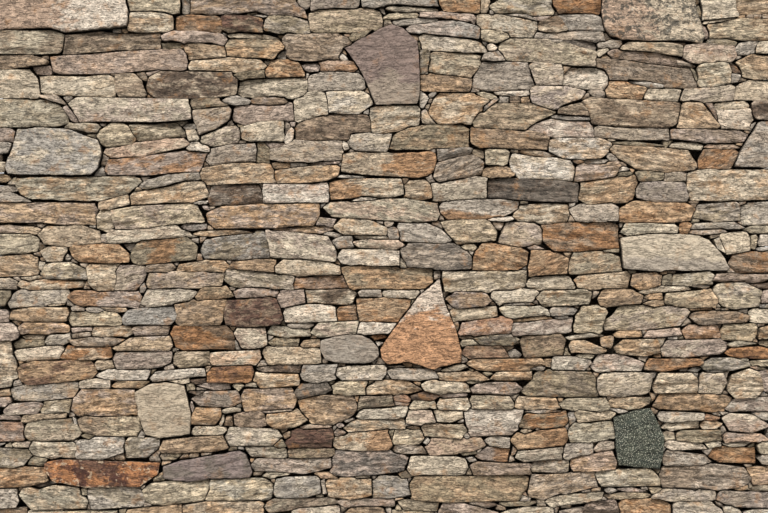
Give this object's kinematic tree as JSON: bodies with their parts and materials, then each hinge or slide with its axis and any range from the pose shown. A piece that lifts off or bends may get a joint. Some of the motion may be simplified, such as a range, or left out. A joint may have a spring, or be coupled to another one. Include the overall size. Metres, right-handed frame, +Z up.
{
  "type": "dry stone field wall",
  "caption": "Free-standing double-faced dry stone wall with battered faces, bonded heads, cover band and cope stones on edge.",
  "frame": {"origin": "on the ground, below the middle of the wall", "axes": "+X runs along the wall, to the right of someone who looks at the front face; the front face looks towards -Y; +Z is up"},
  "size_m": [3.44, 0.86, 2.1114],
  "materials": {
    "face_stone": "split sandstone and gneiss in buff, cream, warm grey and pink, laid dry",
    "dark_stone": "dark brown and green-black stone with pale grains",
    "rust_stone": "iron-stained stone in orange brown",
    "pale_stone": "cream and pale grey stone with faint banding",
    "head_stone": "squared rough blocks of the same stone, weathered",
    "cope_stone": "rough slabs, weathered grey, with a little lichen",
    "rubble": "small packed stones in shade"
  },
  "bodies": {
    "root": {"front_footings": "head_stone", "back_footings": "head_stone", "left_end_footing": "head_stone", "right_end_footing": "head_stone", "front_lift_1": "face_stone", "front_lift_2": "face_stone", "front_lift_3": "face_stone", "front_lift_4": "face_stone", "back_lift_1": "face_stone", "back_lift_2": "face_stone", "back_lift_3": "face_stone", "back_lift_4": "face_stone", "hearting": "rubble", "lower_throughs": "face_stone", "upper_throughs": "face_stone", "left_head_ties": "head_stone", "left_head_runners": "head_stone", "left_head_fill": "rubble", "right_head_ties": "head_stone", "right_head_runners": "head_stone", "right_head_fill": "rubble", "cover_band": "cope_stone", "cope_stones": "cope_stone", "five_sided_stone": "face_stone", "triangular_stone": "rust_stone", "green_speckled_stone": "dark_stone", "pale_slab_stone": "pale_stone", "lichen_top_stone": "pale_stone", "speckled_top_stone": "face_stone", "light_grey_stone": "pale_stone", "square_buff_stone": "pale_stone", "grey_cobble": "face_stone", "rust_block": "rust_stone", "lilac_slab": "face_stone", "dark_block": "dark_stone", "leaning_grey_stone": "face_stone"}
  },
  "joints": []
}
